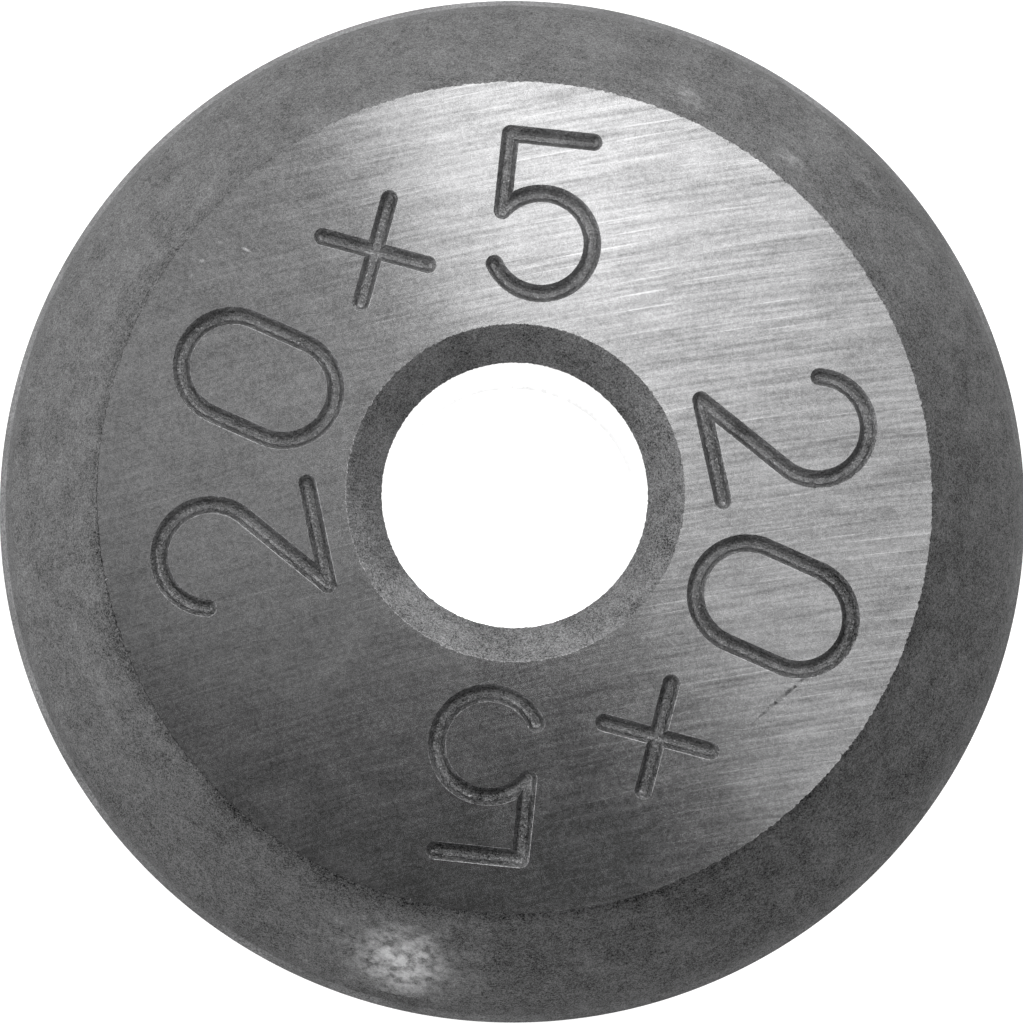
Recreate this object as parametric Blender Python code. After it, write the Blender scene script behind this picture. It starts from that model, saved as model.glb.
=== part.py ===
"""Tile cutter wheel: one solid disc with a bevelled cutting edge and a size mark engraved in its upper face.

Units are metres. +Z is the wheel's axis and points out of the engraved face. The origin is the wheel's centre,
on the axis of the bore and in the plane of the cutting edge.
"""

import math

import bmesh
import bpy
from mathutils import Matrix, Vector

# Driving sizes of the wheel
OUTSIDE_DIAMETER = 0.020
BORE_DIAMETER = 0.005
THICKNESS = 0.005

# Cutting edge: a wide bevel from the flat face, then a narrow steeper band that ends in a small land
BEVEL_ANGLE_DEG = 46.2
EDGE_BAND_WIDTH = 0.00033
EDGE_BAND_ANGLE_DEG = 55.0
EDGE_LAND = 0.00004

# Chamfer at both ends of the bore, at 45 degrees
BORE_CHAMFER = 0.00061

# Size mark: characters that read clockwise, with their tops outward. Their height fills the flat face between two
# margins. Their width fills their slot but for a gap, as far as the proportion of width to height allows.
MARK_REPEATS = 2
MARK_START_DEG = 192.0
MARK_INNER_MARGIN = 0.00046
MARK_OUTER_MARGIN = 0.00090
MARK_GAP = 0.00009
MARK_PROPORTION = 0.66

# Grooves of the mark, cut by a tapered tool with a flat tip
GROOVE_DEPTH = 0.00015
TOOL_TIP_WIDTH = 0.00014
TOOL_FLANK_ANGLE_DEG = 31.0

# How far the groove cutters stand above the face, and how finely round forms are divided
CUTTER_OVERHANG = 0.00010
WHEEL_SEGMENTS = 144
STROKE_STEP_DEG = 12.0
CAP_STEPS = 8

# Sintered carbide
CARBIDE_COLOUR = (0.27, 0.27, 0.275, 1.0)
CARBIDE_ROUGHNESS = 0.42
SHARP_ANGLE_DEG = 5.0

MM_PER_METRE = 1000.0


def clear_scene():
    for item in list(bpy.data.objects):
        bpy.data.objects.remove(item)


def carbide_material():
    material = bpy.data.materials.new("carbide")
    material.use_nodes = True
    shader = material.node_tree.nodes["Principled BSDF"]
    shader.inputs["Base Color"].default_value = CARBIDE_COLOUR
    shader.inputs["Roughness"].default_value = CARBIDE_ROUGHNESS
    shader.inputs["Metallic"].default_value = 1.0
    return material


# The turned body

def bore_chamfer_radius():
    return BORE_DIAMETER / 2 + BORE_CHAMFER


def edge_band_height():
    """Height above the middle plane at which the wide bevel gives way to the band at the cutting edge."""
    return EDGE_LAND / 2 + EDGE_BAND_WIDTH * math.tan(math.radians(EDGE_BAND_ANGLE_DEG))


def face_radius():
    """Outer radius of the flat faces, where the wide bevel begins."""
    bevel_height = THICKNESS / 2 - edge_band_height()
    bevel_width = bevel_height / math.tan(math.radians(BEVEL_ANGLE_DEG))
    return OUTSIDE_DIAMETER / 2 - EDGE_BAND_WIDTH - bevel_width


def wheel_profile():
    """Half section as (radius, height) points, from the bore's upper end outward and down round the rim."""
    half = THICKNESS / 2
    upper = [
        (BORE_DIAMETER / 2, half - BORE_CHAMFER),
        (bore_chamfer_radius(), half),
        (face_radius(), half),
        (OUTSIDE_DIAMETER / 2 - EDGE_BAND_WIDTH, edge_band_height()),
        (OUTSIDE_DIAMETER / 2, EDGE_LAND / 2),
    ]
    lower = [(radius, -height) for radius, height in reversed(upper)]
    return upper + lower


def revolve(mesh, profile, segments):
    """Turns a closed profile once round the Z axis."""
    rings = []
    for step in range(segments):
        turn = Matrix.Rotation(2 * math.pi * step / segments, 4, "Z")
        rings.append([mesh.verts.new(turn @ Vector((radius, 0, height))) for radius, height in profile])
    for step, ring in enumerate(rings):
        following = rings[(step + 1) % segments]
        for point in range(len(profile)):
            ahead = (point + 1) % len(profile)
            mesh.faces.new((ring[point], ring[ahead], following[ahead], following[point]))


# Pen strokes of the size mark, in a character's own plane: x to its right, y to its top, origin at its middle

def arc(centre, radii, start_deg, end_deg):
    """Points along part of an ellipse, from one angle to the other."""
    sweep = end_deg - start_deg
    steps = math.ceil(abs(sweep) / STROKE_STEP_DEG)
    angles = [math.radians(start_deg + sweep * step / steps) for step in range(steps + 1)]
    return [(centre[0] + radii[0] * math.cos(a), centre[1] + radii[1] * math.sin(a)) for a in angles]


def ring(centre, radii):
    """A closed loop, drawn as two strokes that meet at its top and bottom."""
    return [arc(centre, radii, 90, 270), arc(centre, radii, 90, -90)]


def zero(w, h):
    rise = min(w, h)
    left = arc((0, h - rise), (w, rise), 90, 180) + arc((0, rise - h), (w, rise), 180, 270)
    return [left, [(-x, y) for x, y in left]]


def one(w, h):
    return [[(-w / 2, h - w / 2), (0, h)], [(0, h), (0, -h)]]


def two(w, h):
    """The hook runs on in a straight line that touches it and ends at the lower left corner."""
    rise = min(w, h)
    drop = (2 * h - rise) * w / rise
    touch = math.degrees(math.atan2(-drop, -w) + math.acos(w / math.hypot(w, drop)))
    return [arc((0, h - rise), (w, rise), 165, touch) + [(-w, -h)], [(-w, -h), (w, -h)]]


def three(w, h):
    return [arc((0, h / 2), (w, h / 2), 150, -90), arc((0, -h / 2), (w, h / 2), 90, -150)]


def four(w, h):
    return [[(w / 3, h), (-w, -h / 3)], [(-w, -h / 3), (w, -h / 3)], [(w / 3, h), (w / 3, -h)]]


def five(w, h):
    rise = min(w, 0.64 * h)
    bowl = arc((0, rise - h), (w, rise), 145, -150)
    stem = bowl[0][0]
    return [[(-stem, h), (stem, h)], [(stem, h), bowl[0]], bowl]


def six(w, h):
    rise = 0.60 * h
    tail = arc((w / 2, rise - h), (w * 1.5, 2 * h - rise), 180, 90)
    return [tail] + ring((0, rise - h), (w, rise))


def seven(w, h):
    return [[(-w, h), (w, h)], [(w, h), (-w / 3, -h)]]


def eight(w, h):
    return ring((0, h / 2), (w, h / 2)) + ring((0, -h / 2), (w, h / 2))


def nine(w, h):
    return [[(-x, -y) for x, y in path] for path in six(w, h)]


def times(w, h):
    reach = 0.75 * min(w, h)
    return [[(-reach, -reach), (reach, reach)], [(-reach, reach), (reach, -reach)]]


STROKES = {
    "0": zero, "1": one, "2": two, "3": three, "4": four, "5": five,
    "6": six, "7": seven, "8": eight, "9": nine, "×": times,
}


# The grooves that the tool cuts along those strokes

def size_mark():
    """Outside diameter and bore in whole millimetres."""
    return f"{round(OUTSIDE_DIAMETER * MM_PER_METRE)}×{round(BORE_DIAMETER * MM_PER_METRE)}"


def tool_half_width(height):
    """Half the tool's width at a height above its tip."""
    return TOOL_TIP_WIDTH / 2 + height * math.tan(math.radians(TOOL_FLANK_ANGLE_DEG))


def stroke_outline(path):
    """Pairs of a point on the stroke and the unit direction from it to the groove's edge, once round the stroke."""
    points = [Vector(point) for point in path]
    last = len(points) - 1
    tangents = [(points[min(i + 1, last)] - points[max(i - 1, 0)]).normalized() for i in range(last + 1)]
    right = [Vector((tangent.y, -tangent.x)) for tangent in tangents]
    cap = [math.pi * step / CAP_STEPS for step in range(1, CAP_STEPS)]
    outline = list(zip(points, right))
    outline += [(points[-1], right[-1] * math.cos(a) + tangents[-1] * math.sin(a)) for a in cap]
    outline += [(point, -side) for point, side in reversed(list(zip(points, right)))]
    outline += [(points[0], -right[0] * math.cos(a) - tangents[0] * math.sin(a)) for a in cap]
    return outline


def groove_cutter(name, path, place):
    """A closed body with the tool's section, swept along one stroke, with round ends."""
    cutter_height = GROOVE_DEPTH + CUTTER_OVERHANG
    outline = stroke_outline(path)
    mesh = bmesh.new()
    levels = []
    for height in (0.0, cutter_height):
        reach = tool_half_width(height)
        level = THICKNESS / 2 - GROOVE_DEPTH + height
        flat = [point + side * reach for point, side in outline]
        levels.append([mesh.verts.new((x, y, level)) for x, y in flat])
    tip, top = levels
    mesh.faces.new(reversed(tip))
    mesh.faces.new(top)
    for i in range(len(outline)):
        ahead = (i + 1) % len(outline)
        mesh.faces.new((tip[i], tip[ahead], top[ahead], top[i]))
    cutter = new_object(name, mesh)
    cutter.matrix_world = place
    cutter.display_type = "WIRE"
    cutter.hide_render = True
    return cutter


def mark_cutters():
    """One cutter for each stroke of each character, in the characters' places round the face."""
    text = size_mark()
    pitch = 2 * math.pi / (MARK_REPEATS * (len(text) + 1))
    foot = bore_chamfer_radius() + MARK_INNER_MARGIN
    head = face_radius() - MARK_OUTER_MARGIN
    pen = tool_half_width(GROOVE_DEPTH)
    half_height = (head - foot) / 2 - pen
    slot_room = foot * math.tan(pitch / 2) - MARK_GAP / 2 - pen
    half_width = min(slot_room, MARK_PROPORTION * half_height)
    cutters = []
    for repeat in range(MARK_REPEATS):
        for slot, character in enumerate(text):
            bearing = math.radians(MARK_START_DEG) - pitch * (repeat * (len(text) + 1) + slot)
            turn = Matrix.Rotation(bearing - math.pi / 2, 4, "Z")
            place = turn @ Matrix.Translation((0, (head + foot) / 2, 0))
            for path in STROKES[character](half_width, half_height):
                cutters.append(groove_cutter(f"groove_cutter_{len(cutters) + 1}", path, place))
    return cutters


def new_object(name, mesh):
    data = bpy.data.meshes.new(name)
    mesh.to_mesh(data)
    mesh.free()
    item = bpy.data.objects.new(name, data)
    bpy.context.scene.collection.objects.link(item)
    return item


def engrave(wheel, cutters):
    group = bpy.data.collections.new("groove_cutters")
    for cutter in cutters:
        group.objects.link(cutter)
    cut = wheel.modifiers.new("engraving", "BOOLEAN")
    cut.operation = "DIFFERENCE"
    cut.solver = "EXACT"
    cut.operand_type = "COLLECTION"
    cut.collection = group


def cutter_wheel():
    mesh = bmesh.new()
    revolve(mesh, wheel_profile(), WHEEL_SEGMENTS)
    wheel = new_object("cutter_wheel", mesh)
    wheel.data.materials.append(carbide_material())
    wheel.data.shade_smooth()
    wheel.data.set_sharp_from_angle(angle=math.radians(SHARP_ANGLE_DEG))
    return wheel


def main():
    clear_scene()
    engrave(cutter_wheel(), mark_cutters())


main()
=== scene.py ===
"""Looks of the tile cutter wheel: its ground surfaces, a plain pale floor, soft studio light and the camera.

Sizes of the wheel are in millimetres here and become metres when its mesh is finished.
"""

import math

import bmesh
import bpy
from mathutils import Matrix, Vector, noise


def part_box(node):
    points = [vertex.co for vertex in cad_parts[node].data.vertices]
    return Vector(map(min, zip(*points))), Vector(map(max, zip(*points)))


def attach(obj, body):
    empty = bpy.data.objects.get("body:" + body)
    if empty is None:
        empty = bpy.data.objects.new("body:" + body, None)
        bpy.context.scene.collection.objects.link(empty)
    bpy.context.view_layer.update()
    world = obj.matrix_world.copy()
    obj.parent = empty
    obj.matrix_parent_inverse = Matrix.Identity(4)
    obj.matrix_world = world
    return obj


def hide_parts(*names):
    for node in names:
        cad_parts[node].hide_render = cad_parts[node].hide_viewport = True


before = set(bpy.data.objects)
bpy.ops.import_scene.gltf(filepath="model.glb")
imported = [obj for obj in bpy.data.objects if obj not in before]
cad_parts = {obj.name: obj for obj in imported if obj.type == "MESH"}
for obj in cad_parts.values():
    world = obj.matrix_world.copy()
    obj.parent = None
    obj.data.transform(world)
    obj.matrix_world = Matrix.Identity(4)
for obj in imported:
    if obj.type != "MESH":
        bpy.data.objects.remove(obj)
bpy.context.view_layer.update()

MM = 0.001

# The turned body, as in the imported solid
OUTER_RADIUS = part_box("cutter_wheel")[1].x / MM
HALF_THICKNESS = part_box("cutter_wheel")[1].z / MM
BORE_RADIUS = 2.5
BORE_CHAMFER = 0.61
BEVEL_ANGLE_DEG = 46.2
EDGE_BAND_WIDTH = 0.33
EDGE_BAND_ANGLE_DEG = 55.0
EDGE_LAND = 0.04

CHAMFER_RADIUS = BORE_RADIUS + BORE_CHAMFER
BAND_HEIGHT = EDGE_LAND / 2 + EDGE_BAND_WIDTH * math.tan(math.radians(EDGE_BAND_ANGLE_DEG))
BEVEL_WIDTH = (HALF_THICKNESS - BAND_HEIGHT) / math.tan(math.radians(BEVEL_ANGLE_DEG))
FACE_RADIUS = OUTER_RADIUS - EDGE_BAND_WIDTH - BEVEL_WIDTH

# How far its edges are rounded, and how finely it is divided
BORE_ROUND = 0.030
CHAMFER_ROUND = 0.014
FACE_ROUND = 0.008
BAND_ROUND = 0.070
ROUND_STEPS = 3
WHEEL_SEGMENTS = 1440

# Extra rings beside an edge, which keep its nicks and its shading close to it
EDGE_MARGIN = 0.10
FLAT_MARGIN = 0.018

# The ragged line of nicks along a worn edge: its depth, how much of the noise is cut off, two sizes of
# nick by their number to a millimetre, and the share of the finer one
NICK_DEPTH = 0.090
NICK_THRESHOLD = 0.25
NICKS_PER_MM = 9.0
FINER_NICKS_PER_MM = 22.0
FINER_SHARE = 0.6

# A few deeper chips in it
CHIP_DEPTH = 0.030
CHIP_THRESHOLD = 0.42
CHIPS_PER_MM = 5.0

# How much of the nicks each edge takes: inward when positive, outward when negative
BORE_WEAR = 0.4
CHAMFER_WEAR = -0.8
FACE_WEAR = 1.0

# Levels of the noise from which the upper and the lower edges take their nicks, and the steps from there
# to the finer ones and to the chips
UPPER_SEED = 3
LOWER_SEED = 40
FINER_SEED_STEP = 7
CHIP_SEED_STEP = 13

# Size mark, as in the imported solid
MARK = "20×5"
MARK_REPEATS = 2
MARK_START_DEG = 192.0
MARK_INNER_MARGIN = 0.46
MARK_OUTER_MARGIN = 0.90
MARK_GAP = 0.09
MARK_PROPORTION = 0.66
GROOVE_DEPTH = 0.15
PEN = 0.16

# In its characters: where the hook of the 2 begins, where the bowl of the 5 begins and ends, the bowl's
# greatest share of half the height, and the reach of the × as a share of half the width
TWO_HOOK_DEG = 165
FIVE_BOWL_DEG = (145, -150)
FIVE_BOWL_SHARE = 0.64
TIMES_SHARE = 0.75

# The rounded tool that cuts it
TOOL_RADIUS = 0.110
TOOL_FLANK_ANGLE_DEG = 35.0
TOOL_START_DEG = 12.0
TOOL_STEPS = 4
LIP_ROUND = 0.010
LIP_STEPS = 3
LIP_END_DEG = 65.0
CUTTER_OVERHANG = 0.10
STROKE_STEP_DEG = 4.0
CAP_STEPS = 18

# Edges of the mesh that turn by more than this are shaded as sharp
SHARP_ANGLE_DEG = 12.0

# Camera, fitted to the wheel's circles in the photograph
CAMERA_PLACE = (-0.000613, -0.003898, 0.046699)
CAMERA_TILT_DEG = 4.561
CAMERA_TURN_DEG = -0.702
CAMERA_LENS = 84.41
CAMERA_CLIP = (0.001, 10.0)


# The turned blank

def rounded(before, corner, after, radius):
    """Points of the arc that replaces a corner of the half section and touches both of its sides."""
    back = (before - corner).normalized()
    ahead = (after - corner).normalized()
    half_angle = back.angle(ahead) / 2
    centre = corner + (back + ahead).normalized() * radius / math.sin(half_angle)
    reach = radius / math.tan(half_angle)
    start = corner + back * reach - centre
    end = corner + ahead * reach - centre
    first = math.atan2(start.y, start.x)
    sweep = math.remainder(math.atan2(end.y, end.x) - first, 2 * math.pi)
    angles = [first + sweep * step / ROUND_STEPS for step in range(ROUND_STEPS + 1)]
    return [centre + Vector((math.cos(a), math.sin(a))) * radius for a in angles]


def wheel_profile():
    """Half section as (point, wear) pairs, where wear is how much of the nicks that ring takes."""
    bevel = Vector((math.cos(math.radians(BEVEL_ANGLE_DEG)), -math.sin(math.radians(BEVEL_ANGLE_DEG))))
    corners = [
        (Vector((BORE_RADIUS, 0)), 0, 0),
        (Vector((BORE_RADIUS, HALF_THICKNESS - BORE_CHAMFER)), BORE_ROUND, BORE_WEAR),
        (Vector((CHAMFER_RADIUS - EDGE_MARGIN, HALF_THICKNESS - EDGE_MARGIN)), 0, 0),
        (Vector((CHAMFER_RADIUS, HALF_THICKNESS)), CHAMFER_ROUND, CHAMFER_WEAR),
        (Vector((CHAMFER_RADIUS + FLAT_MARGIN, HALF_THICKNESS)), 0, CHAMFER_WEAR),
        (Vector((CHAMFER_RADIUS + EDGE_MARGIN, HALF_THICKNESS)), 0, 0),
        (Vector((FACE_RADIUS - EDGE_MARGIN, HALF_THICKNESS)), 0, 0),
        (Vector((FACE_RADIUS - FLAT_MARGIN, HALF_THICKNESS)), 0, FACE_WEAR),
        (Vector((FACE_RADIUS, HALF_THICKNESS)), FACE_ROUND, FACE_WEAR),
        (Vector((FACE_RADIUS, HALF_THICKNESS)) + bevel * EDGE_MARGIN, 0, 0),
        (Vector((OUTER_RADIUS - EDGE_BAND_WIDTH, BAND_HEIGHT)), BAND_ROUND, 0),
        (Vector((OUTER_RADIUS, EDGE_LAND / 2)), 0, 0),
    ]
    upper = []
    for i, (corner, radius, wear) in enumerate(corners):
        if radius:
            arc_points = rounded(corners[i - 1][0], corner, corners[i + 1][0], radius)
            upper += [(point, wear) for point in arc_points]
        else:
            upper.append((corner, wear))
    lower = [(Vector((point.x, -point.y)), wear) for point, wear in reversed(upper[1:])]
    return upper + lower


def nick(bearing, radius, seed):
    """How far the edge is worn back at a bearing: a fine ragged line with a few deeper chips."""
    x = radius * math.cos(bearing)
    y = radius * math.sin(bearing)
    fine = 0.5 + 0.5 * noise.noise(Vector((x, y, seed)) * NICKS_PER_MM)
    finer = 0.5 + 0.5 * noise.noise(Vector((x, y, seed + FINER_SEED_STEP)) * FINER_NICKS_PER_MM)
    chip = max(0.0, noise.noise(Vector((x, y, seed + CHIP_SEED_STEP)) * CHIPS_PER_MM) - CHIP_THRESHOLD)
    ragged = max(0.0, (1 - FINER_SHARE) * fine + FINER_SHARE * finer - NICK_THRESHOLD)
    return NICK_DEPTH * ragged + CHIP_DEPTH * chip


def turned_blank():
    profile = wheel_profile()
    mesh = bmesh.new()
    rings = []
    for step in range(WHEEL_SEGMENTS):
        bearing = 2 * math.pi * step / WHEEL_SEGMENTS
        ring = []
        for point, wear in profile:
            seed = UPPER_SEED if point.y > 0 else LOWER_SEED
            radius = point.x - wear * nick(bearing, point.x, seed) if wear else point.x
            ring.append(mesh.verts.new((radius * math.cos(bearing), radius * math.sin(bearing), point.y)))
        rings.append(ring)
    for step, ring in enumerate(rings):
        following = rings[(step + 1) % WHEEL_SEGMENTS]
        for point in range(len(profile)):
            ahead = (point + 1) % len(profile)
            mesh.faces.new((ring[point], ring[ahead], following[ahead], following[point]))
    return new_object("turned_blank", mesh)


# Pen strokes of the size mark in a character's own plane: x to its right, y to its top, origin in its middle

def arc(centre, radii, start_deg, end_deg):
    """Points along part of an ellipse, from one angle to the other."""
    sweep = end_deg - start_deg
    steps = math.ceil(abs(sweep) / STROKE_STEP_DEG)
    angles = [math.radians(start_deg + sweep * step / steps) for step in range(steps + 1)]
    return [(centre[0] + radii[0] * math.cos(a), centre[1] + radii[1] * math.sin(a)) for a in angles]


def zero(w, h):
    rise = min(w, h)
    left = arc((0, h - rise), (w, rise), 90, 180) + arc((0, rise - h), (w, rise), 180, 270)
    return [left, [(-x, y) for x, y in left]]


def two(w, h):
    """The hook runs on in a straight line that touches it and ends at the lower left corner."""
    rise = min(w, h)
    drop = (2 * h - rise) * w / rise
    touch = math.degrees(math.atan2(-drop, -w) + math.acos(w / math.hypot(w, drop)))
    return [arc((0, h - rise), (w, rise), TWO_HOOK_DEG, touch) + [(-w, -h)], [(-w, -h), (w, -h)]]


def five(w, h):
    rise = min(w, FIVE_BOWL_SHARE * h)
    bowl = arc((0, rise - h), (w, rise), *FIVE_BOWL_DEG)
    stem = bowl[0][0]
    return [[(-stem, h), (stem, h)], [(stem, h), bowl[0]], bowl]


def times(w, h):
    reach = TIMES_SHARE * min(w, h)
    return [[(-reach, -reach), (reach, reach)], [(-reach, reach), (reach, -reach)]]


STROKES = {"0": zero, "2": two, "5": five, "×": times}


# The grooves that a rounded tool cuts along those strokes

def tool_section():
    """Height above the groove's bottom and half width there: a round bottom, straight flanks, a soft lip."""
    flank = math.radians(TOOL_FLANK_ANGLE_DEG)
    section = []
    start = math.radians(TOOL_START_DEG)
    for step in range(TOOL_STEPS + 1):
        a = start + (math.pi / 2 - flank - start) * step / TOOL_STEPS
        section.append((TOOL_RADIUS * (1 - math.cos(a)), TOOL_RADIUS * math.sin(a)))
    lip_height = GROOVE_DEPTH - LIP_ROUND
    lip_width = section[-1][1] + (lip_height - section[-1][0]) * math.tan(flank)
    end = math.radians(LIP_END_DEG)
    scale = LIP_ROUND / (math.sin(end) - math.sin(flank))
    for step in range(LIP_STEPS + 1):
        a = flank + (end - flank) * step / LIP_STEPS
        rise = scale * (math.sin(a) - math.sin(flank))
        section.append((lip_height + rise, lip_width + scale * (math.cos(flank) - math.cos(a))))
    section.append((GROOVE_DEPTH + CUTTER_OVERHANG, section[-1][1] + CUTTER_OVERHANG))
    return section


def stroke_outline(path):
    """Pairs of a point on the stroke and the unit direction from it to the groove's edge, once round it."""
    points = [Vector(point) for point in path]
    last = len(points) - 1
    tangents = [(points[min(i + 1, last)] - points[max(i - 1, 0)]).normalized() for i in range(last + 1)]
    right = [Vector((tangent.y, -tangent.x)) for tangent in tangents]
    cap = [math.pi * step / CAP_STEPS for step in range(1, CAP_STEPS)]
    outline = list(zip(points, right))
    outline += [(points[-1], right[-1] * math.cos(a) + tangents[-1] * math.sin(a)) for a in cap]
    outline += [(point, -side) for point, side in reversed(list(zip(points, right)))]
    outline += [(points[0], -right[0] * math.cos(a) - tangents[0] * math.sin(a)) for a in cap]
    return outline


def groove_cutter(name, path, place):
    """A closed body with the tool's section, swept along one stroke, with round ends."""
    outline = stroke_outline(path)
    mesh = bmesh.new()
    levels = []
    for height, reach in tool_section():
        flat = [point + side * reach for point, side in outline]
        level = HALF_THICKNESS - GROOVE_DEPTH + height
        levels.append([mesh.verts.new((x, y, level)) for x, y in flat])
    mesh.faces.new(reversed(levels[0]))
    mesh.faces.new(levels[-1])
    for below, above in zip(levels, levels[1:]):
        for i in range(len(outline)):
            ahead = (i + 1) % len(outline)
            mesh.faces.new((below[i], below[ahead], above[ahead], above[i]))
    bmesh.ops.transform(mesh, matrix=place, verts=mesh.verts)
    return new_object(name, mesh)


def mark_cutters():
    """One cutter for each stroke of each character, in the characters' places round the face."""
    pitch = 2 * math.pi / (MARK_REPEATS * (len(MARK) + 1))
    foot = CHAMFER_RADIUS + MARK_INNER_MARGIN
    head = FACE_RADIUS - MARK_OUTER_MARGIN
    half_height = (head - foot) / 2 - PEN
    slot_room = foot * math.tan(pitch / 2) - MARK_GAP / 2 - PEN
    half_width = min(slot_room, MARK_PROPORTION * half_height)
    cutters = []
    for repeat in range(MARK_REPEATS):
        for slot, character in enumerate(MARK):
            bearing = math.radians(MARK_START_DEG) - pitch * (repeat * (len(MARK) + 1) + slot)
            turn = Matrix.Rotation(bearing - math.pi / 2, 4, "Z")
            place = turn @ Matrix.Translation((0, (head + foot) / 2, 0))
            for path in STROKES[character](half_width, half_height):
                cutters.append(groove_cutter(f"groove_cutter_{len(cutters) + 1}", path, place))
    return cutters


def new_object(name, mesh):
    data = bpy.data.meshes.new(name)
    mesh.to_mesh(data)
    mesh.free()
    item = bpy.data.objects.new(name, data)
    bpy.context.scene.collection.objects.link(item)
    return item


def engraved_mesh():
    """The blank with the mark cut into it, as one finished mesh."""
    blank = turned_blank()
    cutters = mark_cutters()
    group = bpy.data.collections.new("groove_cutters")
    for cutter in cutters:
        group.objects.link(cutter)
    cut = blank.modifiers.new("engraving", "BOOLEAN")
    cut.operation = "DIFFERENCE"
    cut.solver = "EXACT"
    cut.operand_type = "COLLECTION"
    cut.collection = group
    depsgraph = bpy.context.evaluated_depsgraph_get()
    mesh = bpy.data.meshes.new_from_object(blank.evaluated_get(depsgraph))
    for item in [blank, *cutters]:
        bpy.data.objects.remove(item)
    bpy.data.collections.remove(group)
    return mesh


# Materials

# Noise lies mostly between these two values, and is spread to run from about 0 to 1
NOISE_RANGE = (0.25, 0.75)

# Layers of the grain that every ground surface shows: size and share in its tone
GRAIN_LAYERS = [(0.021, 1.0), (0.045, 0.50), (0.10, 0.28), (0.25, 0.20), (0.7, 0.20)]

# Matt surfaces: size of their mottling, and layers of their relief by size and share
MOTTLE_SIZE = 1.1
RELIEF_LAYERS = [(0.04, 1.0), (0.12, 1.6)]

FACE_COLOUR = (0.20, 0.20, 0.202)
GROOVE_COLOUR = (0.165, 0.165, 0.167)
BEVEL_COLOUR = (0.097, 0.097, 0.098)
BAND_COLOUR = (0.057, 0.057, 0.058)
CHAMFER_COLOUR = (0.155, 0.155, 0.157)
BORE_COLOUR = (0.60, 0.60, 0.60)

FACE_ROUGHNESS = 0.16
FACE_ANISOTROPY = 0.75
FACE_EDGE_TINT = (0.45, 0.45, 0.45, 1.0)
FACE_MOTTLE_SIZE = 0.8

# The grinding lines on the faces are arcs about a far centre
GRINDER_CENTRE = (14.8, -68.0, 0.0)
GRINDER_RADIUS = 70.0

# Their streaks: length along them and width across them. The bright ones are painted glints along the lines,
# and of them only the peaks show.
STREAKS = {"fine": (1.1, 0.065), "medium": (2.4, 0.15), "bright": (2.2, 0.045)}
BRIGHT_PEAKS = (0.80, 1.05)

# How much each mark changes the faces' tone, relief and roughness, and the height of the relief
FACE_TONE = {"fine": 0.42, "medium": 0.31, "bright": 0.5, "mottle": 0.16, "scratch": -0.55}
FACE_RELIEF = {"fine": 0.45, "medium": 0.20, "scratch": -3.0}
FACE_ROUGHENING = {"medium": 0.01, "mottle": 0.02, "grain": 0.02}
FACE_RELIEF_HEIGHT = 0.0009

# The grinding lines are clearest on the right of the face, where their tone is strengthened as painted
# glints and their relief is stronger, and the grain on its near left: the way to the right, how far the
# change reaches, and the strengths at the near left and at the right
LINES_WAY = (0.9, 0.4, 0.0)
LINES_REACH = 3.0
LINES_AND_PAINTED_GLINT_STRENGTH = (0.42, 1.0)
RELIEF_STRENGTH = (0.72, 1.0)
GRAIN_STRENGTH = (0.60, 0.46)

# A broken scratch across the lower right of the upper face
SCRATCH_CENTRE = (4.89, -3.80)
SCRATCH_HALF_SIZES = (0.80, 0.050)
SCRATCH_TURN_DEG = 40.0
SCRATCH_EDGE = 0.5
SCRATCH_PIECES = 0.22
SCRATCH_PIECE_RANGE = (0.40, 0.60)
SCRATCH_FAINTEST = 0.40

# Small painted glints at its upper left: centre, half sizes, turn and how much brighter they are
PAINTED_GLINTS = [
    ((-5.01, 4.53), (0.110, 0.036), -25.0, 1.3),
    ((-5.82, 4.32), (0.060, 0.045), 20.0, 0.7),
    ((-5.49, 4.66), (0.100, 0.030), -5.0, 0.4),
    ((-6.02, 4.02), (0.090, 0.040), 50.0, 0.4),
]
PAINTED_GLINT_EDGE = 0.6

# Bright specks in the grooves: size, which part of the noise shows, and how much brighter they are
SPECK_SIZE = 0.05
SPECK_PEAKS = (0.78, 1.0)
SPECK_TONE = 1.0

# A pale area on the upper bevel: its mottled core and the faint patch round it, each with its half sizes,
# the size of its clouds and how much paler it is
PALE_AREA_CENTRE = (-2.20, -8.95)
PALE_AREA_TURN_DEG = -14.0
PALE_AREA_PARTS = [((1.20, 1.10), 0.24, 3.7), ((2.5, 1.35), 0.40, 0.9)]

# Small pale smudges on the upper bevel: centre, half sizes and turn
SMUDGES = [
    ((3.35, 7.56), (0.42, 0.22), -65.0),
    ((5.22, 6.38), (0.40, 0.24), -40.0),
    ((6.90, 6.10), (0.40, 0.16), -45.0),
]
SMUDGE_CLOUDS = 0.2
SMUDGE_TONE = 0.65

# Clouds in a pale area: which part of the noise shows, and where the area has its full strength
CLOUD_RANGE = (0.20, 0.75)
CLOUD_EDGE = 0.5

# Painted shade on the bevel next to the near left of the face's edge: how wide, how much, and the way there
PAINTED_EDGE_SHADE_WIDTH = 0.24
PAINTED_EDGE_SHADE = 0.28
PAINTED_EDGE_SHADE_WAY = (-0.7, -0.7, 0.0)
PAINTED_EDGE_SHADE_REACH = 4.0

# Bevels, band and chamfer carry painted shade, darkest at the near right: the way there, and the changes of
# tone at the far left and there
PAINTED_SHADE_WAY = (0.7, -0.7, 0.0)
BEVEL_PAINTED_SHADE = (0.03, -0.33)
BAND_PAINTED_SHADE = (0.06, -0.42)
CHAMFER_PAINTED_SHADE = (0.0, -0.16)

# The grooves carry painted shade, darkest at the near side: the way there, and the changes of tone at the
# far side and there
GROOVE_PAINTED_SHADE_WAY = (0.0, -1.0, 0.0)
GROOVE_PAINTED_SHADE = (0.10, -0.36)
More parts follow.
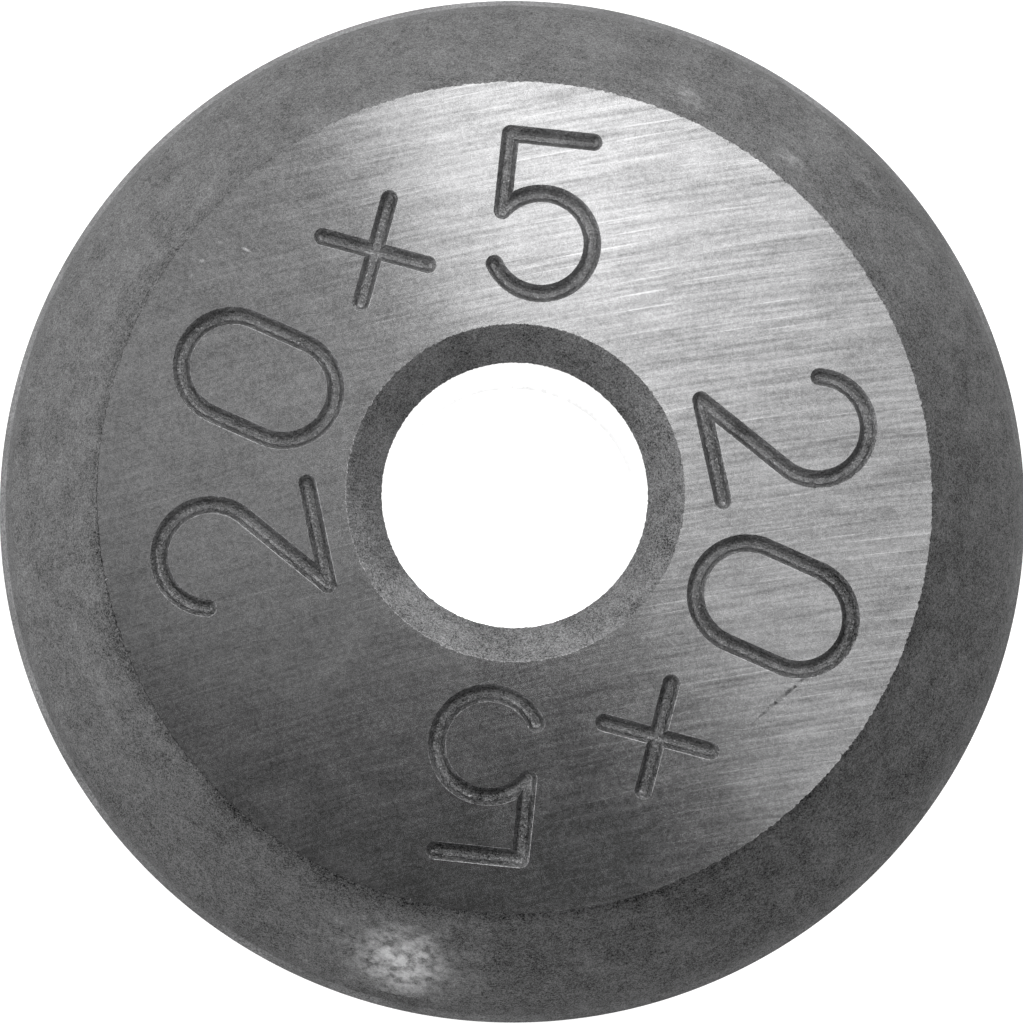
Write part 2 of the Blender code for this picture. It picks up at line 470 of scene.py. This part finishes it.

# The cutting edge is rubbed paler, and a painted highlight makes it palest on the far left: how wide, over
# what width the rubbing begins, the sizes of its patches, the least rub, the way to the far left, and the
# strengths at the near right and there
RUB_WIDTH = 0.17
RUB_EDGE = 0.02
RUB_PATCHES = (0.05, 1.5)
LEAST_RUB = 0.08
RUB_PAINTED_HIGHLIGHT_WAY = (-0.7, 0.7, 0.0)
RUB_AND_PAINTED_HIGHLIGHT_STRENGTH = (0.7, 4.6)


def add_node(tree, kind, inputs, **settings):
    """Makes a node, gives it its settings and feeds its inputs from sockets or with plain values."""
    node = tree.nodes.new(kind)
    for key, value in settings.items():
        setattr(node, key, value)
    for key, value in inputs.items():
        if isinstance(value, bpy.types.NodeSocket):
            tree.links.new(value, node.inputs[key])
        else:
            node.inputs[key].default_value = value
    return node


def maths(tree, operation, first, second=0.0):
    return add_node(tree, "ShaderNodeMath", {0: first, 1: second}, operation=operation).outputs[0]


def vector_maths(tree, operation, first, second):
    return add_node(tree, "ShaderNodeVectorMath", {0: first, 1: second}, operation=operation).outputs[0]


def length_of(tree, vector):
    return add_node(tree, "ShaderNodeVectorMath", {0: vector}, operation="LENGTH").outputs["Value"]


def flattened(tree, place):
    return vector_maths(tree, "MULTIPLY", place, (1.0, 1.0, 0.0))


def remap(tree, value, low, high, new_low, new_high):
    inputs = {"Value": value, "From Min": low, "From Max": high, "To Min": new_low, "To Max": new_high}
    return add_node(tree, "ShaderNodeMapRange", inputs).outputs[0]


def leaning(tree, place, way, reach, low, high):
    """A value that runs from low to high along a way, between that reach on either side of the middle."""
    inputs = {0: place, 1: way}
    dot = add_node(tree, "ShaderNodeVectorMath", inputs, operation="DOT_PRODUCT").outputs["Value"]
    return remap(tree, dot, -reach, reach, low, high)


def noise_at(tree, place, scale, detail=2.0, roughness=0.5):
    inputs = {"Vector": place, "Scale": scale, "Detail": detail, "Roughness": roughness}
    return add_node(tree, "ShaderNodeTexNoise", inputs).outputs["Fac"]


def flat_noise(tree, place, size, detail=0.0, roughness=0.5):
    """Noise with features of about that size in millimetres, from about 0 to 1."""
    return remap(tree, noise_at(tree, place, 1 / size, detail, roughness), *NOISE_RANGE, 0.0, 1.0)


def weighted_sum(tree, terms):
    """Sum of (weight, value) pairs, each value taken about its middle of 0.5."""
    total = None
    for weight, value in terms:
        centred = maths(tree, "SUBTRACT", value, 0.5)
        term = maths(tree, "MULTIPLY", centred, weight)
        total = term if total is None else maths(tree, "ADD", total, term)
    return total


def plus(tree, tone, mark, strength):
    """The tone with a mark added to it at that strength."""
    return maths(tree, "ADD", tone, maths(tree, "MULTIPLY", mark, strength))


def shaded(tree, tone, place, way, reach, changes):
    """The tone with painted light and shade: changed by one amount where a way across the wheel begins and
    by another where it ends.
    """
    return maths(tree, "ADD", tone, leaning(tree, place, way, reach, *changes))


def spot(tree, place, centre, half_sizes, turn_deg):
    """1 in the middle of an ellipse on the upper side, falling to 0 at its rim."""
    scale = (half_sizes[0], half_sizes[1], HALF_THICKNESS)
    inputs = {"Vector": place, "Location": (*centre, HALF_THICKNESS), "Scale": scale}
    inputs["Rotation"] = (0.0, 0.0, math.radians(turn_deg))
    inside = add_node(tree, "ShaderNodeMapping", inputs, vector_type="TEXTURE").outputs[0]
    return remap(tree, length_of(tree, inside), 0.0, 1.0, 1.0, 0.0)


def millimetre_place(tree):
    coordinates = add_node(tree, "ShaderNodeTexCoord", {})
    return vector_maths(tree, "MULTIPLY", coordinates.outputs["Object"], (1 / MM, 1 / MM, 1 / MM))


def new_material(name, roughness):
    material = bpy.data.materials.new(name)
    material.use_nodes = True
    shader = material.node_tree.nodes["Principled BSDF"]
    shader.inputs["Metallic"].default_value = 1.0
    shader.inputs["Roughness"].default_value = roughness
    return material, material.node_tree, shader


def set_colour(tree, shader, base, variation):
    """The base colour with every channel multiplied by one plus the variation."""
    factor = maths(tree, "ADD", variation, 1.0)
    channels = {0: factor, 1: factor, 2: factor}
    tint = add_node(tree, "ShaderNodeCombineXYZ", channels).outputs[0]
    colour = vector_maths(tree, "MULTIPLY", tint, base)
    tree.links.new(colour, shader.inputs["Base Color"])


def set_bump(tree, shader, height, distance):
    bump = add_node(tree, "ShaderNodeBump", {"Height": height, "Distance": distance * MM, "Strength": 1.0})
    tree.links.new(bump.outputs["Normal"], shader.inputs["Normal"])


def grain_tone(tree, place, strength):
    """The fine grain that every ground surface shows, strongest at the smallest size."""
    layers = [(strength * share, flat_noise(tree, place, size)) for size, share in GRAIN_LAYERS]
    return weighted_sum(tree, layers)


def grinding_place(tree, place):
    """Coordinates along and across the grinding lines, and the direction across them."""
    flat = flattened(tree, vector_maths(tree, "SUBTRACT", place, GRINDER_CENTRE))
    parts = add_node(tree, "ShaderNodeSeparateXYZ", {0: flat}).outputs
    angle = maths(tree, "ARCTAN2", parts[1], parts[0])
    along = maths(tree, "MULTIPLY", angle, GRINDER_RADIUS)
    direction = add_node(tree, "ShaderNodeVectorMath", {0: flat}, operation="NORMALIZE").outputs[0]
    return along, length_of(tree, flat), direction


def streaks(tree, along, across, length, width):
    """Noise drawn out along the grinding lines, from about 0 to 1."""
    u = maths(tree, "DIVIDE", along, length)
    v = maths(tree, "DIVIDE", across, width)
    place = add_node(tree, "ShaderNodeCombineXYZ", {0: u, 1: v, 2: length}).outputs[0]
    return remap(tree, noise_at(tree, place, 1.0, 1.0), *NOISE_RANGE, 0.0, 1.0)


def broken_scratch(tree, place):
    """1 where the scratch is deepest, with fainter pieces along it."""
    line = spot(tree, place, SCRATCH_CENTRE, SCRATCH_HALF_SIZES, SCRATCH_TURN_DEG)
    line = remap(tree, line, 0.0, SCRATCH_EDGE, 0.0, 1.0)
    pieces = flat_noise(tree, place, SCRATCH_PIECES, 1.0)
    return maths(tree, "MULTIPLY", line, remap(tree, pieces, *SCRATCH_PIECE_RANGE, SCRATCH_FAINTEST, 1.0))


def mixed(tree, weights, names, marks):
    """Sum of the named marks, each by its own weight."""
    return weighted_sum(tree, [(weights[name], marks[name]) for name in names])


def across_face(tree, place, strengths):
    """A strength that changes from the near left of the face to its right."""
    return leaning(tree, place, LINES_WAY, LINES_REACH, *strengths)


def face_marks(tree, place):
    """The flat faces' streaks, mottling, grain and scratch by name, and the direction across the streaks."""
    along, across, direction = grinding_place(tree, place)
    marks = {name: streaks(tree, along, across, *size) for name, size in STREAKS.items()}
    marks["bright"] = remap(tree, marks["bright"], *BRIGHT_PEAKS, 0.0, 1.0)
    marks["mottle"] = flat_noise(tree, place, FACE_MOTTLE_SIZE, 3.0)
    marks["grain"] = grain_tone(tree, place, 1.0)
    marks["scratch"] = broken_scratch(tree, place)
    return marks, direction


def face_tone(tree, place, marks):
    lines = mixed(tree, FACE_TONE, ["fine", "medium"], marks)
    # Bright streaks added to the lines: painted glints
    lines = plus(tree, lines, marks["bright"], FACE_TONE["bright"])
    tone = mixed(tree, FACE_TONE, ["mottle"], marks)
    # The lines' tone, strengthened towards the right as painted glints
    tone = plus(tree, tone, lines, across_face(tree, place, LINES_AND_PAINTED_GLINT_STRENGTH))
    tone = plus(tree, tone, marks["grain"], across_face(tree, place, GRAIN_STRENGTH))
    tone = plus(tree, tone, marks["scratch"], FACE_TONE["scratch"])
    # Painted glints at the upper left
    for centre, half_sizes, turn_deg, brighter in PAINTED_GLINTS:
        painted_glint = remap(tree, spot(tree, place, centre, half_sizes, turn_deg), 0.0, PAINTED_GLINT_EDGE, 0.0, brighter)
        tone = maths(tree, "ADD", tone, painted_glint)
    return tone


def ground_face():
    """The flat faces: fine grinding lines in one direction, with painted glints along them that are
    strongest towards the right, and a scratch and a few painted glints on the upper.
    """
    material, tree, shader = new_material("ground_face", FACE_ROUGHNESS)
    place = millimetre_place(tree)
    marks, direction = face_marks(tree, place)
    set_colour(tree, shader, FACE_COLOUR, face_tone(tree, place, marks))
    relief = mixed(tree, FACE_RELIEF, ["fine", "medium"], marks)
    relief = maths(tree, "MULTIPLY", relief, across_face(tree, place, RELIEF_STRENGTH))
    relief = plus(tree, relief, marks["scratch"], FACE_RELIEF["scratch"])
    set_bump(tree, shader, relief, FACE_RELIEF_HEIGHT)
    rough = mixed(tree, FACE_ROUGHENING, ["medium", "mottle"], marks)
    rough = plus(tree, rough, marks["grain"], FACE_ROUGHENING["grain"])
    tree.links.new(maths(tree, "ADD", rough, FACE_ROUGHNESS), shader.inputs["Roughness"])
    shader.inputs["Anisotropic"].default_value = FACE_ANISOTROPY
    shader.inputs["Specular Tint"].default_value = FACE_EDGE_TINT
    tree.links.new(direction, shader.inputs["Tangent"])
    return material


def matt_surface(name, roughness, grain, mottling, grain_height):
    """A ground surface without a clear direction, finely grained and faintly mottled."""
    material, tree, shader = new_material(name, roughness)
    place = millimetre_place(tree)
    mottle = flat_noise(tree, place, MOTTLE_SIZE, 3.0)
    tone = maths(tree, "ADD", grain_tone(tree, place, grain), weighted_sum(tree, [(mottling, mottle)]))
    layers = [(share, flat_noise(tree, place, size)) for size, share in RELIEF_LAYERS]
    set_bump(tree, shader, weighted_sum(tree, layers), grain_height)
    return material, tree, shader, place, tone


def engraved_groove():
    material, tree, shader, place, tone = matt_surface(
        "engraved_groove", roughness=0.5, grain=0.75, mottling=0.4, grain_height=0.0045)
    speck = remap(tree, flat_noise(tree, place, SPECK_SIZE, 1.0), *SPECK_PEAKS, 0.0, 1.0)
    tone = plus(tree, tone, speck, SPECK_TONE)
    # Painted shade, deepest at the near side
    tone = shaded(tree, tone, place, GROOVE_PAINTED_SHADE_WAY, FACE_RADIUS, GROOVE_PAINTED_SHADE)
    set_colour(tree, shader, GROOVE_COLOUR, tone)
    return material


def clouded(tree, place, area, size):
    """An area broken up by clouds, from 0 outside it to 1 in its brightest parts."""
    clouds = remap(tree, flat_noise(tree, place, size, 3.0, 0.65), *CLOUD_RANGE, 0.0, 1.0)
    return maths(tree, "MULTIPLY", clouds, remap(tree, area, 0.0, CLOUD_EDGE, 0.0, 1.0))


def ground_bevel():
    """The wide bevels, with a pale area and a few smudges on the upper one, painted shade next to the near
    left of the face's edge, and painted shade that is deepest at the near right.
    """
    material, tree, shader, place, tone = matt_surface(
        "ground_bevel", roughness=0.5, grain=0.95, mottling=0.28, grain_height=0.0010)
    for half_sizes, clouds, paler in PALE_AREA_PARTS:
        area = spot(tree, place, PALE_AREA_CENTRE, half_sizes, PALE_AREA_TURN_DEG)
        tone = plus(tree, tone, clouded(tree, place, area, clouds), paler)
    for centre, half_sizes, turn_deg in SMUDGES:
        area = spot(tree, place, centre, half_sizes, turn_deg)
        tone = plus(tree, tone, clouded(tree, place, area, SMUDGE_CLOUDS), SMUDGE_TONE)
    radius = length_of(tree, flattened(tree, place))
    # Painted shade on the bevel next to the near left of the face's edge
    edge = remap(tree, radius, FACE_RADIUS, FACE_RADIUS + PAINTED_EDGE_SHADE_WIDTH, -PAINTED_EDGE_SHADE, 0.0)
    tone = plus(tree, tone, edge, leaning(tree, place, PAINTED_EDGE_SHADE_WAY, PAINTED_EDGE_SHADE_REACH, 0.0, 1.0))
    # Painted shade, deepest at the near right
    tone = shaded(tree, tone, place, PAINTED_SHADE_WAY, OUTER_RADIUS, BEVEL_PAINTED_SHADE)
    set_colour(tree, shader, BEVEL_COLOUR, tone)
    return material


def edge_band():
    """The narrow band at the cutting edge, rubbed paler towards the edge itself, with a painted highlight on
    the far left and painted shade towards the near right.
    """
    material, tree, shader, place, tone = matt_surface(
        "edge_band", roughness=0.45, grain=1.3, mottling=0.3, grain_height=0.0010)
    inner = OUTER_RADIUS - RUB_WIDTH
    radius = length_of(tree, flattened(tree, place))
    rub = remap(tree, radius, inner, inner + RUB_EDGE, 0.0, 1.0)
    for size in RUB_PATCHES:
        rub = maths(tree, "MULTIPLY", rub, flat_noise(tree, place, size, 1.0))
    rub = maths(tree, "ADD", rub, LEAST_RUB)
    # Rubbed paleness, strengthened towards the far left as a painted highlight
    tone = plus(tree, tone, rub, leaning(tree, place, RUB_PAINTED_HIGHLIGHT_WAY, OUTER_RADIUS, *RUB_AND_PAINTED_HIGHLIGHT_STRENGTH))
    # Painted shade, deepest at the near right
    tone = shaded(tree, tone, place, PAINTED_SHADE_WAY, OUTER_RADIUS, BAND_PAINTED_SHADE)
    set_colour(tree, shader, BAND_COLOUR, tone)
    return material


def bore_chamfer():
    material, tree, shader, place, tone = matt_surface(
        "bore_chamfer", roughness=0.62, grain=0.95, mottling=0.4, grain_height=0.0016)
    # Painted shade, deepest at the near right
    tone = shaded(tree, tone, place, PAINTED_SHADE_WAY, CHAMFER_RADIUS, CHAMFER_PAINTED_SHADE)
    set_colour(tree, shader, CHAMFER_COLOUR, tone)
    return material


def bore_wall():
    """The bore is lapped smooth for its pin."""
    material, tree, shader, _, tone = matt_surface(
        "bore_wall", roughness=0.16, grain=0.10, mottling=0.05, grain_height=0.0002)
    set_colour(tree, shader, BORE_COLOUR, tone)
    return material


def wheel_materials():
    """In the order of the mesh's material slots."""
    return [ground_face(), engraved_groove(), ground_bevel(), edge_band(), bore_chamfer(), bore_wall()]


FACE, GROOVE, BEVEL, BAND, CHAMFER, BORE = range(6)

# How far a face of the mesh may lie from the faces' plane and still belong to it
FLAT_TOLERANCE = 0.0005


def surface_at(centre):
    """Which surface of the wheel a face of its mesh belongs to."""
    radius = math.hypot(centre.x, centre.y)
    height = abs(centre.z)
    if radius < CHAMFER_RADIUS:
        return CHAMFER if height > HALF_THICKNESS - BORE_CHAMFER else BORE
    if height > HALF_THICKNESS - FLAT_TOLERANCE:
        return FACE
    if radius < FACE_RADIUS - EDGE_MARGIN:
        return GROOVE if centre.z > 0 and radius > CHAMFER_RADIUS + EDGE_MARGIN else CHAMFER
    return BAND if radius > OUTER_RADIUS - EDGE_BAND_WIDTH else BEVEL


def ground_wheel():
    """The whole wheel as one piece, in the place of its plain solid."""
    mesh = engraved_mesh()
    mesh.name = "ground_wheel"
    mesh.materials.clear()
    for material in wheel_materials():
        mesh.materials.append(material)
    for face in mesh.polygons:
        face.material_index = surface_at(face.center)
    mesh.transform(Matrix.Scale(MM, 4))
    mesh.shade_smooth()
    mesh.set_sharp_from_angle(angle=math.radians(SHARP_ANGLE_DEG))
    wheel = bpy.data.objects.new("ground_wheel", mesh)
    bpy.context.scene.collection.objects.link(wheel)
    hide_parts("cutter_wheel")
    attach(wheel, "root")


# Floor, light and camera

# The wheel's lower face stands a hair proud of the floor's plane, so that it shows cleanly from below
FLOOR_RADIUS = 0.6
FLOOR_RISE = 0.02
FLOOR_COLOUR = (0.52, 0.52, 0.52, 1.0)
FLOOR_ROUGHNESS = 0.9
FLOOR_SEGMENTS = 96
FLOOR_GLOW = 0.38

# It glows more close round the wheel, and most under the bore, which would otherwise be a dark well:
# distances from the wheel's centre in millimetres, and the glow added
NEAR_GLOW_FADE = (14.0, 24.0)
NEAR_GLOW = 0.37
BORE_GLOW_FADE = (4.0, 5.0)
BORE_GLOW = 0.55

# Tall panels stand all round, dim at the near right: bearing anticlockwise from +X, and brightness
SIDE_PANELS = [(0.0, 0.5), (60.0, 3.3), (120.0, 2.8), (180.0, 2.4), (240.0, 1.05), (300.0, 0.4)]
PANEL_ELEVATION_DEG = 20.5
PANEL_SPREAD_DEG = (60.0, 43.0)

# Lamps overhead: bearing, angle from straight above, spread as seen from the wheel, brightness, shape
OVERHEAD_LAMPS = [
    ("softbox", 31.0, 29.8, 50.4, 1.53, "SQUARE"),
    ("crown_lamp", 77.3, 16.4, 13.2, 2.05, "DISK"),
    ("side_lamp", 116.3, 11.3, 19.6, 0.85, "DISK"),
]
LAMP_DISTANCE = 0.45

# The sky is dark straight overhead and at the horizon, with a paler belt between that fades towards the near
# right: its elevations, its brightnesses at the near right and the far left, and the way to the far left.
# Below the floor the sky is pale.
BELT_DEG = (8.0, 26.0, 50.0, 68.0)
SKY_DARK = 0.16
SKY_BELT = (0.14, 0.50)
BELT_WAY = (-0.7, 0.7, 0.0)
BELT_REACH = 0.7
SKY_BELOW = 0.75
HORIZON_BLEND = 0.02

# A wall behind the floor, which only the camera sees
BACKDROP_HEIGHT = 0.5
BACKDROP_GLOW = 0.90

WHITE = (1.0, 1.0, 1.0, 1.0)
BLACK = (0.0, 0.0, 0.0, 1.0)


def glowing_material(name, colour, glow):
    """A dull surface of that colour which glows white. It isn't sampled as a lamp."""
    material = bpy.data.materials.new(name)
    material.use_nodes = True
    material.cycles.emission_sampling = "NONE"
    shader = material.node_tree.nodes["Principled BSDF"]
    shader.inputs["Base Color"].default_value = colour
    shader.inputs["Specular IOR Level"].default_value = 0.0
    shader.inputs["Emission Color"].default_value = WHITE
    shader.inputs["Emission Strength"].default_value = glow
    return material, material.node_tree, shader


def pale_floor():
    """It glows a little, as a light table does, so that it stays pale behind the wheel."""
    mesh = bmesh.new()
    bmesh.ops.create_circle(mesh, cap_ends=True, segments=FLOOR_SEGMENTS, radius=FLOOR_RADIUS)
    floor = new_object("floor", mesh)
    floor.location.z = (FLOOR_RISE - HALF_THICKNESS) * MM
    material, tree, shader = glowing_material("pale_floor", FLOOR_COLOUR, FLOOR_GLOW)
    shader.inputs["Roughness"].default_value = FLOOR_ROUGHNESS
    reach = length_of(tree, millimetre_place(tree))
    near = remap(tree, reach, *NEAR_GLOW_FADE, FLOOR_GLOW + NEAR_GLOW, FLOOR_GLOW)
    glow = maths(tree, "ADD", near, remap(tree, reach, *BORE_GLOW_FADE, BORE_GLOW, 0.0))
    tree.links.new(glow, shader.inputs["Emission Strength"])
    floor.data.materials.append(material)


def pale_backdrop():
    mesh = bmesh.new()
    radii = {"radius1": FLOOR_RADIUS, "radius2": FLOOR_RADIUS}
    bmesh.ops.create_cone(mesh, segments=FLOOR_SEGMENTS, depth=BACKDROP_HEIGHT, **radii)
    wall = new_object("backdrop", mesh)
    wall.location.z = BACKDROP_HEIGHT / 2 - HALF_THICKNESS * MM
    wall.data.materials.append(glowing_material("pale_backdrop", BLACK, BACKDROP_GLOW)[0])
    wall.visible_diffuse = False
    wall.visible_glossy = False
    wall.visible_transmission = False
    wall.visible_shadow = False


def lamp_width(spread_deg):
    return 2 * LAMP_DISTANCE * math.tan(math.radians(spread_deg / 2))


def soft_lamp(name, bearing_deg, tilt_deg, spreads_deg, brightness, shape):
    """A lamp that faces the wheel, with the brightness that its surface shows to the wheel."""
    data = bpy.data.lights.new(name, "AREA")
    data.shape = shape
    data.size = lamp_width(spreads_deg[0])
    data.size_y = lamp_width(spreads_deg[1])
    area = data.size * data.size_y
    if shape == "DISK":
        area = math.pi * data.size ** 2 / 4
    data.energy = math.pi * area * brightness
    lamp = bpy.data.objects.new(name, data)
    turn = Matrix.Rotation(math.radians(bearing_deg), 4, "Z")
    tilt = Matrix.Rotation(math.radians(tilt_deg), 4, "Y")
    upright = Matrix.Rotation(math.radians(90), 4, "Z")
    lamp.matrix_world = turn @ tilt @ upright @ Matrix.Translation((0, 0, LAMP_DISTANCE))
    lamp.visible_camera = False
    bpy.context.scene.collection.objects.link(lamp)


def pale_sky():
    """Dark overhead and at the horizon, so that the face and the bevels have something dark to mirror."""
    world = bpy.data.worlds.new("studio")
    world.use_nodes = True
    tree = world.node_tree
    direction = add_node(tree, "ShaderNodeTexCoord", {}).outputs["Generated"]
    height = add_node(tree, "ShaderNodeSeparateXYZ", {0: direction}).outputs[2]
    foot, low, high, top = [math.sin(math.radians(elevation)) for elevation in BELT_DEG]
    rising = remap(tree, height, foot, low, 0.0, 1.0)
    falling = remap(tree, height, high, top, 1.0, 0.0)
    belt = maths(tree, "MULTIPLY", rising, falling)
    base = remap(tree, height, -HORIZON_BLEND, 0.0, SKY_BELOW, SKY_DARK)
    brightness = plus(tree, base, belt, leaning(tree, direction, BELT_WAY, BELT_REACH, *SKY_BELT))
    background = tree.nodes["Background"]
    background.inputs["Color"].default_value = WHITE
    tree.links.new(brightness, background.inputs["Strength"])
    bpy.context.scene.world = world


def studio_light():
    pale_sky()
    for bearing, brightness in SIDE_PANELS:
        tilt = 90 - PANEL_ELEVATION_DEG
        soft_lamp(f"side_panel_{bearing:.0f}", bearing, tilt, PANEL_SPREAD_DEG, brightness, "RECTANGLE")
    for name, bearing, tilt, spread, brightness, shape in OVERHEAD_LAMPS:
        soft_lamp(name, bearing, tilt, (spread, spread), brightness, shape)


def photo_camera():
    data = bpy.data.cameras.new("photo_camera")
    data.lens = CAMERA_LENS
    data.clip_start, data.clip_end = CAMERA_CLIP
    camera = bpy.data.objects.new("photo_camera", data)
    tilt = Matrix.Rotation(math.radians(CAMERA_TILT_DEG), 4, "X")
    turn = Matrix.Rotation(math.radians(CAMERA_TURN_DEG), 4, "Y")
    camera.matrix_world = Matrix.Translation(CAMERA_PLACE) @ tilt @ turn
    bpy.context.scene.collection.objects.link(camera)
    bpy.context.scene.camera = camera


photo_camera()
ground_wheel()
pale_floor()
pale_backdrop()
studio_light()
bpy.context.scene.view_settings.view_transform = "Standard"
